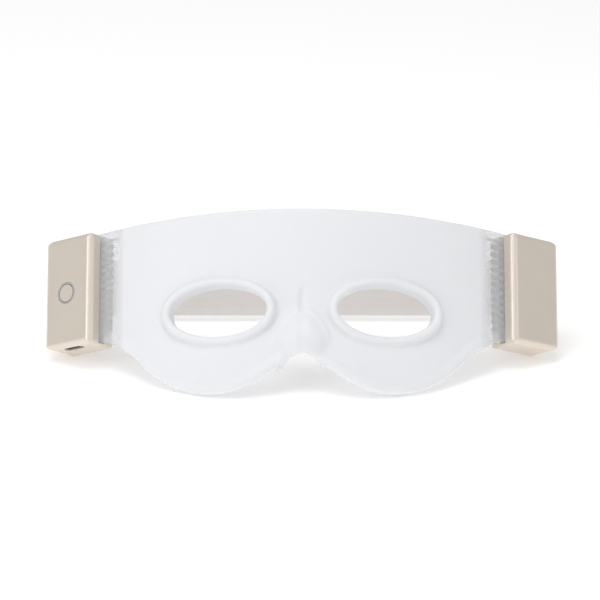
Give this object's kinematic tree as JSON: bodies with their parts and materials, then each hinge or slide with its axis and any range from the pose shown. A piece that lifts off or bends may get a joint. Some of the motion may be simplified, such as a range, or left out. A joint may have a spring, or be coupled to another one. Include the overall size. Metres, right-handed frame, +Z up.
{
  "type": "eye massager mask",
  "caption": "Curved frosted silicone eye mask with beaded eye openings, held between two rounded champagne control pods and worn with an elastic head strap.",
  "frame": {"origin": "centre of the bounding box's underside, on the table the mask stands on", "axes": "+X to the viewer's right along the mask's width, +Y away from the viewer towards the back of the head strap, +Z up"},
  "size_m": [0.1988, 0.0901, 0.0643],
  "materials": {
    "frosted_silicone": "frosted, soft to the touch",
    "champagne_shell": "metallic champagne lacquer, satin",
    "ring_plastic": "satin",
    "comb_plastic": "matt",
    "cable_sleeve": "matt",
    "black_plastic": "matt",
    "circuit_board": "solder mask",
    "led_lens": "clear",
    "steel": "bright",
    "weight_metal": "sintered",
    "battery_foil": "matt foil",
    "cradle_rubber": "matt",
    "strap_elastic": "woven elastic",
    "keeper_plastic": "satin"
  },
  "bodies": {
    "mask": {"face_skin": "frosted_silicone", "left_eye_bead": "frosted_silicone", "right_eye_bead": "frosted_silicone", "link_cable": "cable_sleeve", "left_clamp_comb": "comb_plastic", "right_clamp_comb": "comb_plastic", "left_front_shell": "champagne_shell", "left_back_shell": "champagne_shell", "right_front_shell": "champagne_shell", "right_back_shell": "champagne_shell", "light_ring": "ring_plastic", "tact_switch": "black_plastic", "main_board": "circuit_board", "battery_board": "circuit_board", "board_chips": "black_plastic", "status_led": "led_lens", "charging_port": "steel", "port_tongue": "black_plastic", "battery_pack": "battery_foil", "left_motor_can": "steel", "right_motor_can": "steel", "left_motor_cradle": "cradle_rubber", "right_motor_cradle": "cradle_rubber", "shell_screws": "steel", "left_strap_pin": "steel", "right_strap_pin": "steel", "head_strap": "strap_elastic"},
    "button": {"power_button": "champagne_shell", "switch_plunger": "black_plastic"},
    "left_rotor": {"left_motor_shaft": "steel", "left_motor_weight": "weight_metal"},
    "right_rotor": {"right_motor_shaft": "steel", "right_motor_weight": "weight_metal"},
    "keeper": {"strap_keeper": "keeper_plastic"}
  },
  "joints": [
    {"name": "power_button_press", "type": "slide", "parent": "mask", "child": "button", "axis": [0.6374, 0.6312, -0.4419], "range_m": [0, 0.0004], "stiffness_N_per_m": 2500},
    {"name": "left_motor_spin", "type": "hinge", "parent": "mask", "child": "left_rotor", "pos_m": [-0.08225, 0.00665, 0.02393], "axis": [0, 0.5736, 0.8192], "continuous": true},
    {"name": "right_motor_spin", "type": "hinge", "parent": "mask", "child": "right_rotor", "pos_m": [0.08225, 0.00665, 0.02393], "axis": [0, 0.5736, 0.8192], "continuous": true},
    {"name": "strap_keeper_slide", "type": "slide", "parent": "mask", "child": "keeper", "axis": [1, 0, 0], "range_m": [-0.03, 0.03]}
  ]
}
